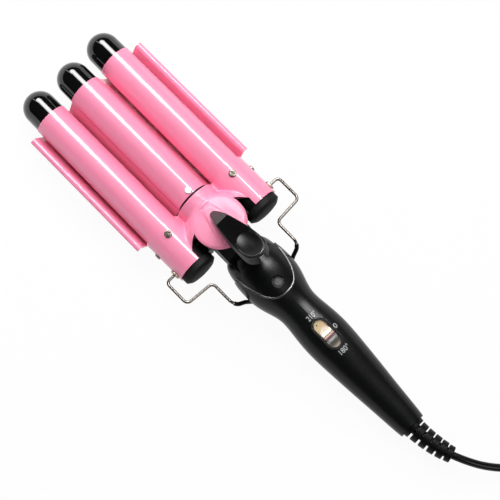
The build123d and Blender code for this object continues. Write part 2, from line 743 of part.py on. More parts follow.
def thumb_lever():
    """Pressed to open the jaws: solid over the pad, hollow under the thumb's dish."""
    blank = flared(0) & side_prism(lever_side(), 2 * LEVER_HALF_W)
    up = lever_frame().z_dir
    face = blank.faces().filter_by(lambda f: f.normal_at().dot(up) > 0.999).sort_by(Axis.X)[-1]
    blank = fillet([e for e in face.edges() if e.center().X > LEVER_BEND[0] + 1], LEVER_EDGE)
    reach = 2 * LEVER_REAR[0]
    inner = flared(LEVER_WALL) & block(LEVER_HOLLOW_X, reach, -LEVER_HALF_W, LEVER_HALF_W, 0, reach)
    under = LEVER_WALL + DISH_DEPTH
    inner &= Location(lever_frame()) * Pos(0, 0, -under - LEVER_DROP) * Box(reach, reach, 2 * LEVER_DROP)
    lever = blank - inner - pad() - dish()
    half, slot_top = LEVER_SLOT_W / 2, LEVER_REAR[1] - LEVER_SLOT_DROP
    return lever - block(LEVER_REAR[0] - 6, reach, -half, half, 0, slot_top)


# ---- stand ----
def cradle_points():
    """Points of the sleeve where it hangs round the underside of the handle."""
    points = []
    for k in range(3):
        angle = math.radians(14 + 30 * k)
        x = CRADLE_X - 5.5 * (1 - math.sin(angle))
        zc, hw, hh = handle_at(x)
        off = SLEEVE_R + CRADLE_GAP + 0.9
        points.append((x, (hw + off) * math.cos(angle), zc - (hh + off) * math.sin(angle)))
    return points


def stand_route():
    z = -BARREL_DROP
    right = [(STAND_X, BARREL_Y + PIVOT_DEPTH, z), (STAND_X, STAND_OUT_Y, z)]
    right += [(STAND_TURN_X, STAND_OUT_Y, z - 0.3), (STAND_TURN_X + 1.5, STAND_IN_Y, z - 0.6)]
    right += [(SLEEVE_CORNER_X, STAND_IN_Y, z - 1.5)] + cradle_points()
    left = [(x, -y, zz) for x, y, zz in reversed(right)]
    return right + left


def stand_line():
    return FilletPolyline(*stand_route(), radius=list(STAND_RADII + STAND_RADII[::-1]))


def piped(line, r):
    return sweep(Plane(line @ 0, z_dir=line % 0) * Circle(r), path=line)


def stand_wire():
    return piped(stand_line(), WIRE_R)


def stand_sleeve():
    """Heat-proof sleeve on the part of the wire that passes under the handle."""
    wire = Wire(stand_line().edges())
    samples = 600
    start = next(k / samples for k in range(samples) if (wire @ (k / samples)).X > SLEEVE_X)
    run = wire.trim(start, 1 - start)
    return piped(run, SLEEVE_R) - piped(run, WIRE_R + 0.005)


def stand_washers():
    seat = BARREL_Y + collar_r()
    washer = cross_rod(WASHER_R, seat - FIT, seat + WASHER_T, STAND_X, -BARREL_DROP)
    washer = fillet(washer.edges().group_by(Axis.Y)[-1], WASHER_T / 2)
    washer -= pivot_hole(1)
    washer -= rod(collar_r() + 0.02, 0, 2 * STAND_X, BARREL_Y, -BARREL_DROP)
    return both_sides(washer)


# ---- handle ----
def hull(stations, inset):
    rings = []
    for x, z, hw, hh in stations:
        rings.append(Plane.YZ.offset(x) * Pos(0, z) * Ellipse(hw - inset, hh - inset))
    return loft(rings)


def grown(stations, x0, x1):
    """The same stations with the end ones moved to x0 and x1."""
    first, last = stations[0], stations[-1]
    return ((x0,) + first[1:],) + tuple(stations[1:-1]) + ((x1,) + last[1:],)


def handle_skin():
    skin = hull(HANDLE, 0) - hull(grown(HANDLE, SHOULDER_X - 1, HANDLE_END_X - END_WALL), SHELL_WALL)
    return skin


def nose_skin():
    skin = hull(NOSE, 0)
    inner = hull(grown(NOSE, NOSE_X + 2.2, SHOULDER_X + 3), SHELL_WALL)
    return skin - inner


def above_parting(clearance):
    """Everything above the handle's parting line."""
    line = [(x, z + clearance) for x, z, _, _ in HANDLE]
    line = [(NOSE_X - 5, line[0][1])] + line + [(HANDLE_END_X + 5, line[-1][1])]
    return side_prism(line + [(HANDLE_END_X + 5, REACH), (NOSE_X - 5, REACH)], REACH)


def tongue(inset):
    """Plan of the cover's tongue between the handle's shoulders."""
    w = TONGUE_HALF_W - inset
    end = TONGUE_END_X - inset
    start = (SHOULDER_X - 14, w + 0.4)
    steps = [(x, w - narrower) for x, narrower in TONGUE_STEPS]
    side = Spline(start, *steps, (end, 0), tangents=((1, 0), (0, -1)))
    outline = side + mirror(side, about=Plane.XZ) + Line(start, (start[0], -start[1]))
    return Pos(0, 0, TONGUE_LOW_Z) * extrude(make_face(outline), REACH)


def seam_bead():
    """Round bead on the handle's shell along the edge of the cover's tongue."""
    core = tongue(-BEAD_OFF) & hull(HANDLE, BEAD_R * 0.35)
    middles = [(e, e @ 0.5) for e in core.edges()]
    lines = [e for e, m in middles if e.center().Z > 0 and abs(m.Y) > 1 and m.X > SHOULDER_X + 1]
    end = max((e @ t for e in lines for t in (0, 1)), key=lambda p: p.X)
    bead = Pos(end) * Sphere(BEAD_R)
    for line in lines:
        bead += piped(line, BEAD_R)
    return bead & above_parting(0) & block(SHOULDER_X, HANDLE_END_X, -REACH, REACH, -REACH, REACH)


def handle_upper_shell():
    shell = handle_skin() & above_parting(0)
    shell -= tongue(0)
    shell += seam_bead()
    shell += switch_frame() * switch_lip()
    shell -= switch_frame() * switch_opening()
    shell -= relief_socket()
    for x in BOSSES:
        zc, _, hh = handle_at(x)
        boss = post(BOSS_R, zc, zc + hh, x) & hull(HANDLE, 1.0)
        shell += boss
        shell -= post(SCREW_R, zc - 1, zc + 8, x)
    return shell


def handle_lower_shell():
    shell = handle_skin() - above_parting(0)
    nose = nose_skin() - above_parting(0)
    shell += nose - block(SHOULDER_X + 1, HANDLE_END_X, -REACH, REACH, -REACH, REACH)
    shell -= neck_window()
    shell -= relief_socket()
    for x in BOSSES:
        zc, _, hh = handle_at(x)
        boss = post(BOSS_R, zc - hh, zc, x) & hull(HANDLE, 1.0)
        shell += boss
        shell -= post(SCREW_R + 0.3, zc - hh - 5, zc + 1, x)
        shell -= post(HEAD_R + 0.2, zc - hh - 5, zc - hh + BOSS_SINK, x)
    top = BOARD_Z - BOARD_T
    legs = [post(BOARD_LEG_R, top - 20, top, x, y) for x, y in BOARD_POSTS]
    core = hull(HANDLE, 1.0) - above_parting(0)
    for leg in legs:
        shell += switch_frame() * leg & core
    return shell


def neck_window():
    lean = 0.2
    return block(NOSE_X - 2, NECK_REAR_X + 1, -NECK_W / 2 - lean, NECK_W / 2 + lean, NECK_BOTTOM_Z - lean, 6)


def housing_cover():
    """Nose and tongue of the front housing in one moulding, with the indicator's well."""
    nose = nose_skin() & above_parting(0)
    front = block(0, SHOULDER_X - SEAM, -REACH, REACH, -REACH, REACH)
    nose &= front + (tongue(SEAM) & block(0, SHOULDER_X + 1, -REACH, REACH, -REACH, REACH))
    flap = handle_skin() & above_parting(0)
    flap &= tongue(SEAM)
    cover = nose + flap
    cover -= neck_window()
    zc, _, hh = handle_at(LENS_X)
    top = zc + hh
    cover -= post(LENS_WELL_R, top - 1.1, top + 8, LENS_X)
    cover += post(LENS_WELL_R + 1.2, top - 4.6, top - 1.9, LENS_X)
    cover -= post(LENS_R + FIT, top - 8, top + 8, LENS_X)
    return cover


def indicator_lens():
    zc, _, hh = handle_at(LENS_X)
    top = zc + hh
    lens = post(LENS_R, top - 5.0, top - 0.9, LENS_X) + post(LENS_R + 0.9, top - 5.6, top - 4.65, LENS_X)
    return lens


def handle_screws():
    made = []
    for x in BOSSES:
        zc, _, hh = handle_at(x)
        made.append(Pos(x, 0, zc - hh + BOSS_SINK - FIT) * Rot(180, 0, 0) * screw(HEAD_R, hh + 2))
    return made


# ---- switch: drawn flat, then laid on the handle's sloping back by switch_frame() ----
def switch_frame():
    back = [sum(handle_at(x)[::2]) for x in (SWITCH_X - SLOT_L / 2, SWITCH_X, SWITCH_X + SLOT_L / 2)]
    tilt = math.degrees(math.atan2(back[0] - back[2], SLOT_L))
    return Pos(SWITCH_X, 0, back[1]) * Rot(0, tilt, 0)


def stadium(length, width, z0, z1):
    return Pos(0, 0, z0) * extrude(SlotOverall(length, width), z1 - z0)


def switch_lip():
    """Raised, rounded frame round the switch's recess."""
    lip = stadium(LIP_L, LIP_W, LIP_TOP - 1.6, LIP_TOP)
    return fillet(lip.edges().group_by(Axis.Z)[-1], LIP_ROUND)


def switch_opening():
    """Recess, window and the room under it for the switch and its slider."""
    recess = stadium(SLOT_L - 0.4, SLOT_W - 0.4, -SLOT_DEPTH, 20)
    window = stadium(WINDOW_L, WINDOW_W, -12, 20)
    half_l, half_w = BODY_L / 2 + 0.5, BODY_W / 2 + 0.4
    room = block(-half_l, half_l, -half_w, half_w, -12, PLATE_Z + FIT)
    gap = 0.1
    low, high = PLATE_Z - 0.1, PLATE_Z + SLIDER_SPACE + SLIDER_T + gap
    run = slider_strip(gap, low, high)
    for shift in (-SWITCH_TRAVEL - 0.3, SWITCH_TRAVEL + 0.3):
        room += Pos(shift, 0, 0) * run
    return recess + window + room + run


def circuit_board():
    board = Pos(0, 0, BOARD_Z - BOARD_T / 2) * Box(BOARD_L, BOARD_W, BOARD_T)
    for x, y in BOARD_POSTS:
        board -= post(0.9, BOARD_Z - 3, BOARD_Z + 1, x, y)
    return switch_frame() * board


def stem_slot():
    """Slot that the slider's stem runs in."""
    half_l, half_w = STEM_L / 2 + SWITCH_TRAVEL + STEM_GAP, STEM_W / 2 + STEM_GAP
    return block(STEM_X - half_l, STEM_X + half_l, -half_w, half_w, -6, 1)


def switch_body():
    """Slide-switch housing that stands on the board under the window."""
    body = block(-BODY_L / 2, BODY_L / 2, -BODY_W / 2, BODY_W / 2, BOARD_Z, PLATE_Z - PLATE_T)
    return switch_frame() * (body - stem_slot())


def switch_plate():
    """Brass-coloured contact plate seen in the window."""
    half_l, half_w = BODY_L / 2 - 0.4, BODY_W / 2 - 0.4
    plate = block(-half_l, half_l, -half_w, half_w, PLATE_Z - PLATE_T, PLATE_Z)
    x, y, r = PLATE_HOLE
    return switch_frame() * (plate - stem_slot() - post(r, PLATE_Z - PLATE_T - 1, 0, x, y))


def slider_strip(grow, low, high):
    """The slider's flat strip, which runs under the rear of the window's frame."""
    half = SLIDER_W / 2 + grow
    strip = block(SLIDER_X0 + SLIDER_W / 2, SLIDER_X1 + grow, -half, half, low, high)
    return strip + post(half, low, high, SLIDER_X0 + SLIDER_W / 2)


def switch_slider():
    z0 = PLATE_Z + SLIDER_SPACE
    top = z0 + SLIDER_T
    profile = [(KNOB_PROFILE[0][0], 0)] + list(KNOB_PROFILE) + [(KNOB_PROFILE[-1][0], 0)]
    knob = Pos(0, 0, top - 0.01) * side_prism(profile, KNOB_W / 2)
    knob &= Pos(KNOB_X, 0, 0) * stadium(KNOB_L, KNOB_W, -5, 5)
    stem = block(STEM_X - STEM_L / 2, STEM_X + STEM_L / 2, -STEM_W / 2, STEM_W / 2, PLATE_Z - 3, z0 + 0.1)
    return switch_frame() * (slider_strip(0, z0, top) + knob + stem)


# ---- strain relief and cord ----
def relief_frame():
    zc, _, _ = handle_at(HANDLE_END_X)
    return Location((HANDLE_END_X, 0, zc), (0, 3.0, 0))


def relief_at(s):
    """Place on the relief's bent axis, s along it, with Z along the axis."""
    bend_r = RELIEF_L / math.radians(RELIEF_BEND)
    turn = s / bend_r
    spot = Pos(bend_r * math.sin(turn), bend_r * (1 - math.cos(turn)), 0) * Rot(0, 0, math.degrees(turn))
    return relief_frame() * spot * Rot(0, 90, 0)


def relief_socket():
    return relief_at(0) * Pos(0, 0, -2) * Cylinder(4.9, 12)


def relief_ring(s0, s1, r):
    """One rounded ring on the bent axis, between s0 and s1."""
    ring = Cone(r + RELIEF_TAPER / 2, r - RELIEF_TAPER / 2, s1 - s0)
    return relief_at((s0 + s1) / 2) * fillet(ring.edges(), RELIEF_ROUND)


def strain_relief():
    """Flexible sleeve: a flange against the handle, then rings joined by webs above and below."""
    body = loft([relief_at(s) * Circle(r) for s, r in RELIEF_CORE])
    body += relief_at(-4.0) * Cylinder(6.4, 1.4)
    for ring in RELIEF_RINGS:
        body += relief_ring(*ring)
    for a, b in zip(RELIEF_RINGS, RELIEF_RINGS[1:]):
        web = Box(2 * (b[2] - RELIEF_WEB_DROP), RELIEF_WEB, b[0] - a[1] + 1)
        body += relief_at((a[1] + b[0]) / 2) * web
    end_wall = block(HANDLE_END_X - END_WALL, HANDLE_END_X + FIT, -20, 20, -REACH, 0)
    return body - (end_wall - relief_socket())


def relief_end():
    return relief_at(RELIEF_CORE[-1][0]).position


def run_radii(points):
    """Largest tangent arc at each inner point: 0.45 of its shorter run over the half turn's tangent."""
    radii = []
    for a, b, c in zip(points, points[1:], points[2:]):
        before, after = Vector(*b) - Vector(*a), Vector(*c) - Vector(*b)
        half_turn = math.radians(before.get_angle(after)) / 2
        radii.append(0.45 * min(before.length, after.length) / math.tan(half_turn))
    return radii


def cord_tube(points):
    radii = run_radii(points)
    print("cord arcs", [round(r, 1) for r in radii])
    return piped(FilletPolyline(*points, radius=radii), CORD_R)


def coil_edge():
    """Half of the coil's width across its turns."""
    return COIL_PITCH * COIL_TURNS_WIDE / 2 + CORD_R


def cord_coil():
    """Outer shape of the tied coil: a ring, as wide and high as its turns."""
    half = coil_edge()
    height = COIL_ROWS * 2 * CORD_R
    ring = post(COIL_R + half, TIE_T, TIE_T + height) - post(COIL_R - half, TIE_T - 1, TIE_T + height + 1)
    edges = ring.edges().filter_by(GeomType.CIRCLE)
    return Pos(*COIL_CENTER, 0) * fillet(edges, CORD_R * 0.9)


def cord_tie():
    """Strap wrapped round the coil's turns."""
    half = coil_edge() + FIT
    height = COIL_ROWS * 2 * CORD_R
    out = half + TIE_T
    outer = block(-out, out, -TIE_W / 2, TIE_W / 2, 0, height + 2 * TIE_T + FIT)
    inner = block(-half, half, -TIE_W, TIE_W, TIE_T, height + TIE_T + FIT)
    strap = Pos(COIL_R, 0, 0) * (outer - inner)
    band = post(COIL_R + half, TIE_T, TIE_T + height) - post(COIL_R - half, 0, height + 2 * TIE_T)
    return Pos(*COIL_CENTER, 0) * Rot(0, 0, TIE_ANGLE) * (strap - band)


def plug_frame():
    return Pos(*TAIL_ROUTE[-1]) * Rot(0, 0, PLUG_HEADING)


def plug_body():
    """Flat two-pin moulding with a ribbed neck."""
    x0, x1 = PLUG_NECK - 1, PLUG_NECK + PLUG_L
    w = PLUG_W / 2
    points = (x0, PLUG_WAIST), (x0 + 7, PLUG_WAIST + 3), (x1 - 7, w), (x1, w)
    side = Spline(*points, tangents=((1, 0), (1, 0)))
    ends = Line((x0, PLUG_WAIST), (x0, -PLUG_WAIST)) + Line((x1, w), (x1, -w))
    body = Pos(0, 0, -PLUG_T / 2) * extrude(make_face(side + mirror(side, about=Plane.XZ) + ends), PLUG_T)
    thin = Plane.YZ.offset(x0 - 0.1) * RectangleRounded(PLUG_W + 6, PLUG_THIN, PLUG_EDGE)
    thick = Plane.YZ.offset(x1 + 0.1) * RectangleRounded(PLUG_W + 6, PLUG_T, PLUG_EDGE)
    body &= loft([thin, thick])
    neck_piece = loft([Plane.YZ * Circle(4.0), Plane.YZ.offset(PLUG_NECK) * Circle(5.0)])
    for k in range(PLUG_RIBS):
        start = 1.0 + PLUG_RIB_PITCH * k
        neck_piece += rod(4.6 + 0.25 * k, start, start + 1.4)
    return plug_frame() * (body + neck_piece)


def plug_pins():
    x0 = PLUG_NECK + PLUG_L
    pins = []
    for side in (1, -1):
        pin = rod(PLUG_PIN_R, x0, x0 + PLUG_PIN_L, side * PLUG_PIN_SPACING / 2)
        pins.append(plug_frame() * fillet(pin.faces().sort_by(Axis.X)[-1].edges(), 1.2))
    return pins


# ---- laying the tool down and writing the nodes ----
def pitch_angle():
    """Slope that brings the wave plate's front edge and the stand's sleeve to one level."""
    front = (CENTER_FRONT_X, -BARREL_DROP - TROUGH_R - WAVE_T)
    line = stand_line()
    low = min((e @ t for e in line.edges() for t in (0, 0.25, 0.5, 0.75, 1)), key=lambda p: p.Z)
    return math.degrees(math.atan2(front[1] - (low.Z - SLEEVE_R), low.X - front[0]))


def build_tool():
    nodes = {}
    for name, side in (("left", -1), ("right", 1)):
        y = side * BARREL_Y
        nodes[name + "_barrel"] = outer_barrel(side)
        nodes[name + "_tip"] = tip(OUTER_FRONT_X, y, -BARREL_DROP)
        nodes[name + "_heater"], nodes[name + "_heat_spreaders"] = heater(OUTER_FRONT_X, y, -BARREL_DROP)
        nodes[name + "_end_cap"] = end_cap(side)
    nodes["lower_jaw"] = lower_jaw()
    nodes["center_tip"] = tip(CENTER_FRONT_X, 0, 0)
    nodes["center_heater"], nodes["center_heat_spreaders"] = heater(CENTER_FRONT_X, 0, 0)
    nodes["center_barrel_screw"] = center_screw()
    nodes["collar_screws"] = collar_screws()
    nodes["bridge_shell"] = bridge_shell()
    nodes["under_frame"] = under_frame()
    nodes["neck"] = neck()
    nodes["hinge_pin"] = hinge_pin()
    nodes["return_spring"] = return_spring()
    nodes["thumb_lever"] = thumb_lever()
    nodes["stand_wire"] = stand_wire()
    nodes["stand_sleeve"] = stand_sleeve()
    nodes["stand_washers"] = stand_washers()
    nodes["handle_upper_shell"] = handle_upper_shell()
    nodes["handle_lower_shell"] = handle_lower_shell()
    nodes["housing_cover"] = housing_cover()
    nodes["indicator_lens"] = indicator_lens()
    nodes["handle_screws"] = handle_screws()
    nodes["circuit_board"] = circuit_board()
    nodes["switch_body"] = switch_body()
    nodes["switch_plate"] = switch_plate()
    nodes["switch_slider"] = switch_slider()
    nodes["strain_relief"] = strain_relief()
    return nodes


def cord_pieces(outlet):
    """The cord and what is on it, drawn where they lie."""
    pieces = {"cord": cord_tube([tuple(outlet), *CORD_ROUTE]), "cord_tail": cord_tube(TAIL_ROUTE)}
    pieces["cord_coil"] = cord_coil()
    pieces["cord_tie"] = cord_tie()
    pieces["plug_body"] = plug_body()
    pieces["plug_pins"] = plug_pins()
    return pieces


def solids_of(shape):
    if isinstance(shape, (list, ShapeList)):
        return [s for part in shape for s in part.solids()]
    return list(shape.solids())


def base_shift(solids):
    """Move that puts the bottom centre of the tool's box at the origin."""
    boxes = [s.bounding_box() for s in solids]
    low = [min(getattr(b.min, axis) for b in boxes) for axis in "XYZ"]
    high = [max(getattr(b.max, axis) for b in boxes) for axis in "XYZ"]
    return Pos(-(low[0] + high[0]) / 2, -(low[1] + high[1]) / 2, -low[2])


def main():
    os.makedirs("parts", exist_ok=True)
    lay = Rot(0, -pitch_angle(), 0)
    nodes = {name: [lay * s for s in solids_of(shape)] for name, shape in build_tool().items()}
    shift = base_shift([s for group in nodes.values() for s in group])
    print("pitch", round(pitch_angle(), 3), "shift", [round(v, 3) for v in shift.position])
    nodes = {name: [shift * s for s in group] for name, group in nodes.items()}
    for name, shape in cord_pieces((shift * lay * Location(relief_end())).position).items():
        nodes[name] = solids_of(shape)
    for name, group in nodes.items():
        export_step(Compound(group), "parts/" + name + ".step")


if __name__ == "__main__":
    main()
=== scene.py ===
"""Looks of the triple-barrel hair waver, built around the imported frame.  Metres, +Z up."""
import math

import bpy
from mathutils import Matrix, Vector
from mathutils.bvhtree import BVHTree
from mathutils.kdtree import KDTree


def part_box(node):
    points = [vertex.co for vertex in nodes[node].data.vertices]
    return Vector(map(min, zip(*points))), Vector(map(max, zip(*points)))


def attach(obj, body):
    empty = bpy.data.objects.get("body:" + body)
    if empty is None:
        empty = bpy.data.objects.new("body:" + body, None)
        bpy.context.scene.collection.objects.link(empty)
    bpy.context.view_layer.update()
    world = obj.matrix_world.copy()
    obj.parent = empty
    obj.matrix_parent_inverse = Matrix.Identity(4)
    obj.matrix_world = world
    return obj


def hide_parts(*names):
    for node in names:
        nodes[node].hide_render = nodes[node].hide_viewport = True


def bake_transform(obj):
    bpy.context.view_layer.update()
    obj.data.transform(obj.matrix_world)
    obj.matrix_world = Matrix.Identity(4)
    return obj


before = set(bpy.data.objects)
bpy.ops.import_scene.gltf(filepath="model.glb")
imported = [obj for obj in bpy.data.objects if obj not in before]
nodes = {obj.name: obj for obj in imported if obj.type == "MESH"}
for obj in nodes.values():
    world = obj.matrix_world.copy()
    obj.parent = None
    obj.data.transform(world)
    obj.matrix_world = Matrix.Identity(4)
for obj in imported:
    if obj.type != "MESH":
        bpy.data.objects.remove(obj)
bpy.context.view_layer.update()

MM = 0.001


def put(name, data):
    """New object in the scene."""
    thing = bpy.data.objects.new(name, data)
    bpy.context.scene.collection.objects.link(thing)
    return thing


# ---- camera: place in metres, turn in degrees, lens and sensor in millimetres, reach in metres ----
CAMERA_AT = (0.1516, -0.1633, 1.2444)
CAMERA_TURN = (10.601, -0.531, 45.943)
CAMERA_LENS = 132.22
CAMERA_SENSOR = 36
CAMERA_REACH = 40


def make_camera():
    data = bpy.data.cameras.new("camera")
    data.lens = CAMERA_LENS
    data.sensor_width = CAMERA_SENSOR
    data.clip_end = CAMERA_REACH
    camera = put("camera", data)
    camera.location = CAMERA_AT
    camera.rotation_euler = [math.radians(a) for a in CAMERA_TURN]
    bpy.context.scene.camera = camera


# ---- cord: the route's points, then the coil's turns, then the tail, in millimetres ----
CORD_D = 5.4
CORD_SIDES = 6
CORD_STEPS = 6
CORD_ORDER = 3
CORD_OUT = (187.6, 5.2, 13.8)
CORD_ROUTE = ((197.0, 9.0, 13.2), (212.0, 18.6, 7.8), (228.0, 34.8, 4.2),
              (243.0, 50.3, 3.5), (255.7, 63.4, 3.5))
TAIL_ROUTE = ((308.1, 70.3, 8.9), (318.9, 64.7, 8.3), (330.6, 57.3, 7.0))
COIL_CENTER = (286.4, 32.7)
COIL_R = 32.4
COIL_PITCH = 5.5
COIL_FROM = 135.0
COIL_ROW_TURNS = 4
COIL_LAST_TURN = 75.0
COIL_LOW_Z = 3.5
TURN_POINTS = 12
CLIMB_TURNS = 0.16


def ease(t):
    t = min(1.0, max(0.0, t))
    return t * t * (3 - 2 * t)


def coil_points():
    """Four turns inwards on the floor, then four outwards on top of them, clockwise."""
    half_step = 180 / TURN_POINTS
    swell = 1 / math.cos(math.radians(half_step))
    total = 2 * COIL_ROW_TURNS + COIL_LAST_TURN / 360
    reach = COIL_PITCH * COIL_ROW_TURNS / 2
    points = []
    for k in range(int(total * TURN_POINTS)):
        turn = (k + 0.5) / TURN_POINTS
        along = min(abs(turn - COIL_ROW_TURNS), COIL_ROW_TURNS)
        r = (COIL_R - reach + COIL_PITCH * along) * swell
        z = COIL_LOW_Z + CORD_D * ease((turn - COIL_ROW_TURNS) / (2 * CLIMB_TURNS) + 0.5)
        angle = math.radians(COIL_FROM - 360 * turn)
        points.append((COIL_CENTER[0] + r * math.cos(angle), COIL_CENTER[1] + r * math.sin(angle), z))
    return points


def make_cord():
    curve = bpy.data.curves.new("mains_cord", "CURVE")
    curve.dimensions = "3D"
    curve.bevel_depth = 1.0
    curve.bevel_resolution = CORD_SIDES
    curve.resolution_u = CORD_STEPS
    curve.use_fill_caps = True
    points = [CORD_OUT, *CORD_ROUTE, *coil_points(), *TAIL_ROUTE]
    spline = curve.splines.new("NURBS")
    spline.points.add(len(points) - 1)
    for point, place in zip(spline.points, points):
        point.co = (*(Vector(place) * MM), 1)
        point.radius = CORD_D / 2 * MM
    spline.order_u = CORD_ORDER
    spline.use_endpoint_u = True
    cord = put("mains_cord", curve)
    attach(cord, "handle")
    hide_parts("cord", "cord_coil", "cord_tail")
    return cord


# ---- colours and what the noise does to them ----
PINK = (0.98, 0.28, 0.45)
TAN = (0.56, 0.47, 0.36)
# painted shade: this dark band stands for the shade inside the slider's scoop
SCOOP_SHADE_DARK = (0.05, 0.04, 0.03)
# painted reflection: this maroon line stands for the pink parts mirrored in the slider's metal
MAROON = (0.25, 0.03, 0.08)
GREY_TAN = (0.35, 0.36, 0.33)
# Bands painted along the slider: a maroon line and a grey line painted as reflections on its metal, and a
# dark band painted as the shade in its scoop
SLIDER_PAINTED_BANDS = ((0.0, TAN), (0.35, TAN), (0.38, MAROON), (0.41, MAROON), (0.44, GREY_TAN),
                (0.5, GREY_TAN), (0.57, SCOOP_SHADE_DARK), (0.66, SCOOP_SHADE_DARK), (0.85, TAN))
BLACK = (0.003, 0.003, 0.0032)
# painted reflection tint: the faint blue-green in this black stands for the cool sheen on the handle's
# flanks
BLACK_SATIN = (0.0045, 0.0048, 0.0049)
NOISE_DETAIL = 3.0
TINT_DEPTH = 0.985
TINT_EDGES = (0.35, 0.65)


class Look:
    """One Principled material, with helpers that add noise to its roughness, colour and surface."""

    def __init__(self, name, color, metallic=0.0, coat=0.0, coat_roughness=0.03, ior=1.5):
        self.material = bpy.data.materials.new(name)
        self.material.use_nodes = True
        self.tree = self.material.node_tree
        self.shader = self.tree.nodes["Principled BSDF"]
        self.set("Base Color", (*color, 1))
        self.set("Metallic", metallic)
        self.set("Coat Weight", coat)
        self.set("Coat Roughness", coat_roughness)
        self.set("IOR", ior)
        self.place = self.tree.nodes.new("ShaderNodeTexCoord").outputs

    def set(self, socket, value):
        self.shader.inputs[socket].default_value = value

    def drive(self, socket, source):
        self.tree.links.new(source, self.shader.inputs[socket])

    def noise(self, scale):
        noise = self.tree.nodes.new("ShaderNodeTexNoise")
        noise.inputs["Scale"].default_value = scale
        noise.inputs["Detail"].default_value = NOISE_DETAIL
        self.tree.links.new(self.place["Object"], noise.inputs["Vector"])
        return noise.outputs["Fac"]

    def roughen(self, low, high, scale):
        """Roughness that wanders between two levels."""
        spread = self.tree.nodes.new("ShaderNodeMapRange")
        spread.inputs["To Min"].default_value = low
        spread.inputs["To Max"].default_value = high
        self.tree.links.new(self.noise(scale), spread.inputs["Value"])
        self.drive("Roughness", spread.outputs["Result"])

    def grain(self, scale, height_mm):
        """Fine bumps of the given height."""
        bump = self.tree.nodes.new("ShaderNodeBump")
        bump.inputs["Distance"].default_value = height_mm * MM
        self.tree.links.new(self.noise(scale), bump.inputs["Height"])
        self.drive("Normal", bump.outputs["Normal"])

    def tint(self, color, scale):
        """Colour that wanders a little below the given one."""
        ramp = self.tree.nodes.new("ShaderNodeValToRGB")
        shades = [[c * TINT_DEPTH for c in color], color]
        for element, position, shade in zip(ramp.color_ramp.elements, TINT_EDGES, shades):
            element.position = position
            element.color = (*shade, 1)
        self.tree.links.new(self.noise(scale), ramp.inputs["Fac"])
        self.drive("Base Color", ramp.outputs["Color"])

    def band(self, bands):
        """Colours along the piece's own box, from its front end at 0 to its rear end at 1; on the slider
        they are painted reflections and painted shade.
        """
        parts = self.tree.nodes.new("ShaderNodeSeparateXYZ")
        ramp = self.tree.nodes.new("ShaderNodeValToRGB")
        for _ in bands[2:]:
            ramp.color_ramp.elements.new(0.5)
        for element, (position, color) in zip(ramp.color_ramp.elements, bands):
            element.position = position
            element.color = (*color, 1)
        self.tree.links.new(self.place["Generated"], parts.inputs[0])
        self.tree.links.new(parts.outputs["X"], ramp.inputs["Fac"])
        self.drive("Base Color", ramp.outputs["Color"])


def make_look(name, color, roughness, tint=None, grain=None, bands=None, edge_tint=None, **levels):
    """A finished material; roughness is (low, high, scale), or one level where it is even all over."""
    look = Look(name, color, **levels)
    if tint:
        look.tint(color, tint)
    if isinstance(roughness, tuple):
        look.roughen(*roughness)
    else:
        look.set("Roughness", roughness)
    if grain:
        look.grain(*grain)
    if bands:
        look.band(bands)
    # the edge tint darkens a metal's edges; on the wire it is painted shade
    if edge_tint:
        look.set("Specular Tint", (*edge_tint, 1))
    return look.material


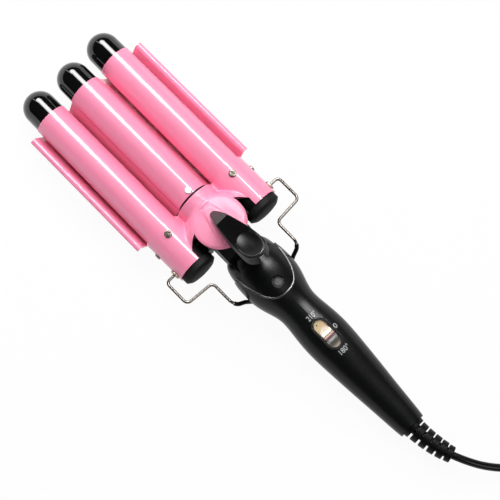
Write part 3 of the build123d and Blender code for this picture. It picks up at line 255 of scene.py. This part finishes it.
# ---- finishes: noise scales are per metre, grain heights in millimetres ----
FINISHES = {
    "coating": dict(name="pink_coating", color=PINK, roughness=0.5, tint=60, coat=1.0,
                    coat_roughness=0.02, ior=1.4),
    "moulded": dict(name="pink_moulding", color=PINK, roughness=0.5, tint=40, grain=(500, 0.002),
                    coat=0.2, coat_roughness=0.05, ior=1.4),
    "gloss": dict(name="black_gloss", color=BLACK, roughness=(0.05, 0.1, 90), coat=0.5),
    "cap": dict(name="black_cap", color=(0.01, 0.01, 0.0105), roughness=(0.57, 0.63, 120), ior=1.2),
    "lever": dict(name="black_lever", color=BLACK, roughness=(0.07, 0.12, 90), ior=1.45),
    "satin": dict(name="black_satin", color=BLACK_SATIN, roughness=(0.27, 0.31, 140), grain=(2600, 0.003),
                  ior=1.32),
    "bead": dict(name="black_bead", color=BLACK_SATIN, roughness=(0.28, 0.32, 140), ior=2.0),
    "lip": dict(name="black_lip", color=BLACK_SATIN, roughness=(0.17, 0.23, 140), ior=1.5),
    # the lever's front facet, picked by facing, wears this brighter black as a painted highlight
    "facet": dict(name="black_facet", color=BLACK_SATIN, roughness=(0.4, 0.44, 140), ior=1.8),
    "dish": dict(name="black_dish", color=BLACK, roughness=(0.24, 0.28, 90), ior=1.3),
    "inner": dict(name="black_frame", color=BLACK, roughness=(0.4, 0.5, 100), grain=(1500, 0.006), ior=1.2),
    # the dark brown edge tint is painted shade along the wire's edges
    "wire": dict(name="bright_wire", color=(0.2, 0.18, 0.165), roughness=(0.22, 0.26, 60), metallic=1.0,
                 edge_tint=(0.12, 0.09, 0.07)),
    "screw": dict(name="plated_screw", color=(0.2, 0.18, 0.15), roughness=(0.12, 0.2, 200),
                  grain=(1100, 0.12), metallic=1.0),
    # the centre screw's pale colour is partly its own silver and partly painted highlight, for the light
    # streak it sits in
    "pale": dict(name="pale_screw", color=(0.85, 0.82, 0.82), roughness=(0.36, 0.44, 200), metallic=0.6),
    "washer": dict(name="browned_washer", color=(0.42, 0.34, 0.28), roughness=(0.3, 0.4, 200), metallic=1.0),
    "alloy": dict(name="spreader_alloy", color=(0.75, 0.75, 0.76), roughness=(0.3, 0.45, 200),
                  metallic=1.0),
    "ceramic": dict(name="heater_ceramic", color=(0.85, 0.85, 0.83), roughness=(0.45, 0.6, 100)),
    "board": dict(name="circuit_board", color=(0.03, 0.2, 0.08), roughness=(0.3, 0.5, 200)),
    "brass": dict(name="contact_brass", color=(0.5, 0.36, 0.19), roughness=(0.36, 0.44, 300), metallic=0.15),
    # the slider's colour bands are painted reflections and painted shade
    "slider": dict(name="slider_metal", color=TAN, roughness=(0.22, 0.28, 100), bands=SLIDER_PAINTED_BANDS,
                   metallic=0.15),
    "lens": dict(name="smoked_lens", color=(0.15, 0.15, 0.155), roughness=(0.1, 0.16, 200), coat=0.5),
    "sheath": dict(name="cord_sheath", color=BLACK, roughness=(0.22, 0.28, 200), grain=(1200, 0.004),
                   ior=1.3),
    "relief": dict(name="relief_rubber", color=BLACK, roughness=(0.36, 0.44, 200), grain=(1200, 0.006),
                   ior=1.22),
    "nickel": dict(name="plug_nickel", color=(0.7, 0.68, 0.64), roughness=(0.15, 0.3, 200), metallic=1.0),
    "white": dict(name="marking_white", color=(0.52, 0.54, 0.54), roughness=(0.45, 0.55, 300)),
}


def skin_under(node):
    """Search tree of a CAD node's surface in the row frame."""
    points = [node.matrix_world @ v.co for v in node.data.vertices]
    return BVHTree.FromPolygons(points, [tuple(f.vertices) for f in node.data.polygons])


# ---- which look each CAD node wears ----
WEAR = {
    "coating": ("left_barrel", "right_barrel", "lower_jaw"),
    "moulded": ("bridge_shell",),
    "gloss": ("left_tip", "right_tip", "center_tip"),
    "lever": ("thumb_lever",),
    "cap": ("left_end_cap", "right_end_cap"),
    "satin": ("handle_upper_shell", "handle_lower_shell", "housing_cover"),
    "inner": ("under_frame", "neck", "stand_sleeve", "switch_body"),
    "wire": ("stand_wire", "return_spring", "hinge_pin"),
    "screw": ("collar_screws", "handle_screws"),
    "pale": ("center_barrel_screw",),
    "washer": ("stand_washers",),
    "alloy": ("left_heat_spreaders", "right_heat_spreaders", "center_heat_spreaders"),
    "ceramic": ("left_heater", "right_heater", "center_heater"),
    "board": ("circuit_board",),
    "brass": ("switch_plate",),
    "slider": ("switch_slider",),
    "lens": ("indicator_lens",),
    "sheath": ("cord_tie", "plug_body"),
    "relief": ("strain_relief",),
    "nickel": ("plug_pins",),
}


def wear(obj, material):
    obj.data.materials.clear()
    obj.data.materials.append(material)


# ---- second looks on parts of a piece, told by place, in millimetres ----
BEAD_REACH = 1.75
WINDOW_HALF_L = 12.3
WINDOW_HALF_W = 5.5
LIP_REACH = 0.8
COLLAR_FROM_Y = 17.0


def window_distance(spot, middle):
    """Millimetres from a point to the rim of the switch window, seen from above, negative inside."""
    x, y = (spot.x - middle.x) / MM, (spot.y - middle.y) / MM
    past = max(0.0, abs(x) - (WINDOW_HALF_L - WINDOW_HALF_W))
    return math.hypot(past, y) - WINDOW_HALF_W


def polish_trim(bead, lip):
    """Gloss on the bead along the cover's edge and on the lip of the switch window."""
    shell = nodes["handle_upper_shell"]
    cover = skin_under(nodes["housing_cover"])
    low, high = (Vector(corner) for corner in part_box("switch_plate"))
    shell.data.materials.append(bead)
    shell.data.materials.append(lip)
    for face in shell.data.polygons:
        spot = shell.matrix_world @ face.center
        if abs(window_distance(spot, (low + high) / 2)) < LIP_REACH and spot.z > high.z:
            face.material_index = 2
        elif cover.find_nearest(spot, BEAD_REACH * MM)[0]:
            face.material_index = 1



def polish_collars(material):
    """The barrels' gloss on the bridge's two outer collars."""
    bridge = nodes["bridge_shell"]
    bridge.data.materials.append(material)
    for face in bridge.data.polygons:
        if abs((bridge.matrix_world @ face.center).y) > COLLAR_FROM_Y * MM:
            face.material_index = 1


# ---- how the row holds the tool, and the lever's dish in the tool's own frame, in millimetres ----
ROW_PITCH = math.radians(3.061)
ROW_SHIFT = (-56.099, 0.0, 26.849)
DISH_START = (29.6, 28.0)
DISH_LEAN = math.radians(26.565)
DISH_MIDDLE = (30.485, 1.723)
DISH_SEMI = (13.39, 9.371, 3.023)


def to_row(x, y, z):
    """A point of the tool, in millimetres, put where the row holds it."""
    cos, sin = math.cos(ROW_PITCH), math.sin(ROW_PITCH)
    return Vector((x * cos - z * sin + ROW_SHIFT[0], y, x * sin + z * cos + ROW_SHIFT[2])) * MM


def on_lever(along, side, height=0.0):
    """A point by its distances along the lever's upper face, across it and out of it."""
    cos, sin = math.cos(DISH_LEAN), math.sin(DISH_LEAN)
    x, z = along * cos - height * sin, along * sin + height * cos
    return to_row(DISH_START[0] + x, side, DISH_START[1] + z)


def dish_point(along, side, below=0.0):
    """A point of the thumb dish, or the given distance below it."""
    a, b = (along - DISH_MIDDLE[0]) / DISH_SEMI[0], side / DISH_SEMI[1]
    height = DISH_MIDDLE[1] - DISH_SEMI[2] * math.sqrt(max(0.0, 1 - a * a - b * b))
    return on_lever(along, side, height - below)


# ---- second looks on the lever: steps over half the dish, the share of it used, reach in millimetres ----
DISH_STEPS = 24
DISH_USED = 0.986
DISH_NEAR = 0.45
# the front facet and the side walls are picked by how they face: a more reflective black on the facet as
# painted highlight, a duller black on the walls as painted shade
FACET_NORMAL = Vector((-0.694, 0.0, 0.72))
FACET_MATCH = 0.98
WALL_BELOW_Z = 0.3


def dish_tree():
    """Search tree of points spread over the dish."""
    steps = range(-DISH_STEPS, DISH_STEPS + 1)
    points = [dish_point(DISH_MIDDLE[0] + DISH_SEMI[0] * p / DISH_STEPS, DISH_SEMI[1] * q / DISH_STEPS)
              for p in steps for q in steps if math.hypot(p, q) < DISH_USED * DISH_STEPS]
    tree = KDTree(len(points))
    for index, point in enumerate(points):
        tree.insert(point, index)
    tree.balance()
    return tree


def vary_lever(dish_look, facet_highlight_look, wall_shade_look):
    """A softer shine inside the lever's dish; the front facet, picked by the way it faces, gets a brighter
    black as painted highlight, and the side walls, picked the same way, a duller black as painted shade.
    """
    lever = nodes["thumb_lever"]
    for material in (dish_look, facet_highlight_look, wall_shade_look):
        lever.data.materials.append(material)
    tree = dish_tree()
    for face in lever.data.polygons:
        if tree.find(lever.matrix_world @ face.center)[2] < DISH_NEAR * MM:
            face.material_index = 1
        elif face.normal.dot(FACET_NORMAL) > FACET_MATCH:
            face.material_index = 2
        elif face.normal.z < WALL_BELOW_Z:
            face.material_index = 3


def make_wound_spring(material):
    """The return spring, as a still copy of the CAD spring in the given look."""
    solid = nodes["return_spring"]
    spring = put("wound_spring", solid.data.copy())
    spring.matrix_world = solid.matrix_world
    wear(spring, material)
    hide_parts("return_spring")
    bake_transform(spring)


# ---- small pieces on the lever, in millimetres ----
PATCH_ALONG = (34.9, 38.9)
PATCH_HALF_W = 2.6
PATCH_LEVELS = (0.02, 0.7)
PATCH_STEPS = 12
RIM_LONG = 11.0
RIM_WIDE = 7.7
RIM_R = 0.28
RIM_SIDES = 3
RIM_TURN = 105
RIM_STEP = 2


def make_dish_floor(material):
    """Thin floor under the dish's low end, over the slot that comes up from below."""
    wide = PATCH_STEPS + 1
    points = []
    for below in PATCH_LEVELS:
        for i in range(wide):
            along = PATCH_ALONG[0] + (PATCH_ALONG[1] - PATCH_ALONG[0]) * i / PATCH_STEPS
            for j in range(wide):
                points.append(dish_point(along, PATCH_HALF_W * (2 * j / PATCH_STEPS - 1), below))
    top = [[i * wide + j for j in range(wide)] for i in range(wide)]
    low = [[(i + wide) * wide + j for j in range(wide)] for i in range(wide)]
    last = PATCH_STEPS
    faces = []
    for i in range(last):
        for j in range(last):
            faces.append((top[i][j], top[i + 1][j], top[i + 1][j + 1], top[i][j + 1]))
            faces.append((low[i][j], low[i][j + 1], low[i + 1][j + 1], low[i + 1][j]))
        faces.append((top[i][0], low[i][0], low[i + 1][0], top[i + 1][0]))
        faces.append((top[i][last], top[i + 1][last], low[i + 1][last], low[i][last]))
        faces.append((top[0][i], top[0][i + 1], low[0][i + 1], low[0][i]))
        faces.append((top[last][i], low[last][i], low[last][i + 1], top[last][i + 1]))
    mesh = bpy.data.meshes.new("dish_floor")
    mesh.from_pydata(points, [], faces)
    mesh.shade_smooth()
    piece = put("dish_floor", mesh)
    wear(piece, material)
    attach(piece, "upper_jaw")


def make_dish_rim(material):
    """Fine bright edge round the rear of the dish."""
    curve = bpy.data.curves.new("dish_rim", "CURVE")
    curve.dimensions = "3D"
    curve.bevel_depth = RIM_R * MM
    curve.bevel_resolution = RIM_SIDES
    curve.use_fill_caps = True
    line = curve.splines.new("POLY")
    turns = [math.radians(t) for t in range(-RIM_TURN, RIM_TURN + 1, RIM_STEP)]
    line.points.add(len(turns) - 1)
    for point, turn in zip(line.points, turns):
        spot = on_lever(DISH_MIDDLE[0] + RIM_LONG * math.cos(turn), RIM_WIDE * math.sin(turn))
        point.co = (*spot, 1.0)
    rim = put("dish_rim", curve)
    wear(rim, material)
    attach(rim, "upper_jaw")


def dress_nodes(looks):
    for look, names in WEAR.items():
        for name in names:
            wear(nodes[name], looks[look])
    polish_trim(looks["bead"], looks["lip"])
    polish_collars(looks["coating"])
    vary_lever(looks["dish"], looks["facet"], looks["inner"])


# ---- printed numbers: words, place of the middle, width and height in millimetres ----
MARKS = {
    "mark_210": ("210°", (57.2, 0.4), 7.4, 3.9),
    "mark_0": ("0", (72.7, 7.6), 2.4, 3.4),
    "mark_180": ("180°", (88.0, 0.8), 7.7, 3.9),
}
MARK_LIFT = 0.04
MARK_DROP_FROM = 1000.0


def make_mark(name, words, middle, width, height, skin, material):
    """Numbers laid on the handle, read along +Y with their tops toward -X."""
    font = bpy.data.curves.new(name + "_text", "FONT")
    font.body = words
    plain = bpy.data.objects.new(name + "_text", font)
    mesh = bpy.data.meshes.new_from_object(plain)
    bpy.data.objects.remove(plain)
    xs = [v.co.x for v in mesh.vertices]
    ys = [v.co.y for v in mesh.vertices]
    for v in mesh.vertices:
        along = (v.co.x - min(xs)) / (max(xs) - min(xs)) - 0.5
        up = (v.co.y - min(ys)) / (max(ys) - min(ys)) - 0.5
        x, y = (middle[0] - up * height) * MM, (middle[1] + along * width) * MM
        spot = skin.ray_cast(Vector((x, y, MARK_DROP_FROM * MM)), Vector((0, 0, -1)))[0]
        v.co = (x, y, spot.z + MARK_LIFT * MM)
    mark = put(name, mesh)
    wear(mark, material)
    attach(mark, "handle")


def make_marks(material):
    skin = skin_under(nodes["handle_upper_shell"])
    for name, (words, middle, width, height) in MARKS.items():
        make_mark(name, words, middle, width, height, skin, material)


# ---- studio, in metres ----
FLOOR_GLOW = 0.95
FLOOR_GREY = 0.85


def studio_surface():
    """White to the eye and in reflections; elsewhere it takes the lamps, so it keeps a faint shadow."""
    material = bpy.data.materials.new("studio_white")
    material.use_nodes = True
    tree = material.node_tree
    tree.nodes.clear()
    output = tree.nodes.new("ShaderNodeOutputMaterial")
    mix = tree.nodes.new("ShaderNodeMixShader")
    diffuse = tree.nodes.new("ShaderNodeBsdfDiffuse")
    diffuse.inputs["Color"].default_value = (FLOOR_GREY, FLOOR_GREY, FLOOR_GREY, 1)
    glow = tree.nodes.new("ShaderNodeEmission")
    glow.inputs["Strength"].default_value = 1.0
    path = tree.nodes.new("ShaderNodeLightPath")
    seen = path.outputs["Is Camera Ray"]
    for ray in ("Is Glossy Ray", "Is Transmission Ray"):
        either = tree.nodes.new("ShaderNodeMath")
        either.operation = "MAXIMUM"
        tree.links.new(seen, either.inputs[0])
        tree.links.new(path.outputs[ray], either.inputs[1])
        seen = either.outputs[0]
    share = tree.nodes.new("ShaderNodeMath")
    share.operation = "MULTIPLY"
    share.inputs[1].default_value = FLOOR_GLOW
    tree.links.new(seen, share.inputs[0])
    tree.links.new(share.outputs[0], mix.inputs["Fac"])
    tree.links.new(diffuse.outputs[0], mix.inputs[1])
    tree.links.new(glow.outputs[0], mix.inputs[2])
    tree.links.new(mix.outputs[0], output.inputs["Surface"])
    return material


FLOOR_R = 4.0
WALL_BEND = 0.8
WALL_H = 1.0
FLOOR_Z = -0.0002
FLOOR_SIDES = 64
BEND_STEPS = 8


def make_floor():
    """Round floor that curves up into a low wall."""
    profile = [(0.0, 0.0), (FLOOR_R - WALL_BEND, 0.0)]
    for k in range(1, BEND_STEPS + 1):
        a = math.pi / 2 * k / BEND_STEPS
        profile.append((FLOOR_R - WALL_BEND + WALL_BEND * math.sin(a), WALL_BEND * (1 - math.cos(a))))
    profile.append((FLOOR_R, WALL_H))
    verts = [(0.0, 0.0, 0.0)]
    for r, z in profile[1:]:
        turns = [math.tau * side / FLOOR_SIDES for side in range(FLOOR_SIDES)]
        verts += [(r * math.cos(turn), r * math.sin(turn), z) for turn in turns]
    faces = [(0, 1 + side, 1 + (side + 1) % FLOOR_SIDES) for side in range(FLOOR_SIDES)]
    for ring in range(len(profile) - 2):
        a, b = 1 + ring * FLOOR_SIDES, 1 + (ring + 1) * FLOOR_SIDES
        for side in range(FLOOR_SIDES):
            after = (side + 1) % FLOOR_SIDES
            faces.append((a + side, b + side, b + after, a + after))
    mesh = bpy.data.meshes.new("floor")
    mesh.from_pydata(verts, [], faces)
    mesh.shade_smooth()
    floor = put("floor", mesh)
    floor.location.z = FLOOR_Z
    mesh.materials.append(studio_surface())


# ---- lamps: shape, place, aim, size, brightness; the first lot only shine, the second only light ----
SHINE_LAMPS = {
    "key_strip": ("RECTANGLE", (-0.68, 0.55, 1.2), (-0.68, 0.0, 0.0), (1.36, 0.2), 20.0),
    "key_wide": ("ELLIPSE", (-1.08, 0.55, 1.2), (-1.08, 0.0, 0.0), (1.3, 0.8), 12.0),
    "front_strip": ("RECTANGLE", (-1.65, 0.13, 1.12), (0.0, 0.0, 0.03), (1.15, 0.1), 4.0),
    "gleam": ("RECTANGLE", (-0.06, 0.6, 1.2), (-0.06, 0.0, 0.0), (0.16, 0.9), 19.0),
    "rear": ("RECTANGLE", (1.2, 0.2, 1.3), (0.0, 0.0, 0.0), (0.7, 0.8), 4.0),
}
SOFT_LAMPS = {
    "key_soft": ("RECTANGLE", (-0.78, 0.63, 1.37), (0.0, 0.0, 0.0), (1.3, 1.3), 5.8),
    "matte": ("RECTANGLE", (-1.9, -0.1, 0.5), (0.0, 0.0, 0.0), (0.8, 0.9), 4.2),
}


def soft_box(name, shape, at, aim, size, radiance):
    """Flat lamp whose length runs along X where it can."""
    data = bpy.data.lights.new(name, "AREA")
    data.shape = shape
    data.size, data.size_y = size
    area = size[0] * size[1] * (math.pi / 4 if shape == "ELLIPSE" else 1)
    data.energy = radiance * math.pi * area
    lamp = put(name, data)
    back = (Vector(at) - Vector(aim)).normalized()
    along = Vector((1, 0, 0))
    along = (along - along.dot(back) * back).normalized()
    side = back.cross(along)
    lamp.visible_camera = False
    lamp.matrix_world = Matrix.Translation(at) @ Matrix((along, side, back)).transposed().to_4x4()
    return lamp


SKY_FILL = 0.26
SKY_ZENITH = 0.02
SKY_DARK_FROM = 0.3
SKY_WHITE_TO = 0.05


def studio_sky():
    """White low down and dark overhead in reflections, an even faint fill elsewhere."""
    world = bpy.data.worlds.new("studio")
    world.use_nodes = True
    tree = world.node_tree
    path = tree.nodes.new("ShaderNodeLightPath")
    place = tree.nodes.new("ShaderNodeTexCoord")
    parts = tree.nodes.new("ShaderNodeSeparateXYZ")
    height = tree.nodes.new("ShaderNodeMapRange")
    height.interpolation_type = "SMOOTHSTEP"
    height.inputs["From Min"].default_value = SKY_WHITE_TO
    height.inputs["From Max"].default_value = SKY_DARK_FROM
    height.inputs["To Min"].default_value = 1.0
    height.inputs["To Max"].default_value = SKY_ZENITH
    tree.links.new(place.outputs["Generated"], parts.inputs[0])
    tree.links.new(parts.outputs["Z"], height.inputs["Value"])
    level = height.outputs["Result"]
    for ray, value in (("Is Diffuse Ray", SKY_FILL), ("Is Camera Ray", 1.0)):
        mix = tree.nodes.new("ShaderNodeMix")
        mix.inputs["B"].default_value = value
        tree.links.new(path.outputs[ray], mix.inputs["Factor"])
        tree.links.new(level, mix.inputs["A"])
        level = mix.outputs["Result"]
    tree.links.new(level, tree.nodes["Background"].inputs["Strength"])
    tree.nodes["Background"].inputs["Color"].default_value = (1, 1, 1, 1)
    return world


def make_light():
    for name, lamp in SHINE_LAMPS.items():
        soft_box(name, *lamp).visible_diffuse = False
    for name, lamp in SOFT_LAMPS.items():
        soft_box(name, *lamp).visible_glossy = False
    bpy.context.scene.world = studio_sky()


make_camera()
cord = make_cord()
looks = {key: make_look(**finish) for key, finish in FINISHES.items()}
dress_nodes(looks)
wear(cord, looks["sheath"])
make_wound_spring(looks["wire"])
make_dish_floor(looks["dish"])
make_dish_rim(looks["bead"])
make_marks(looks["white"])
make_floor()
make_light()
bpy.context.scene.view_settings.view_transform = "Standard"
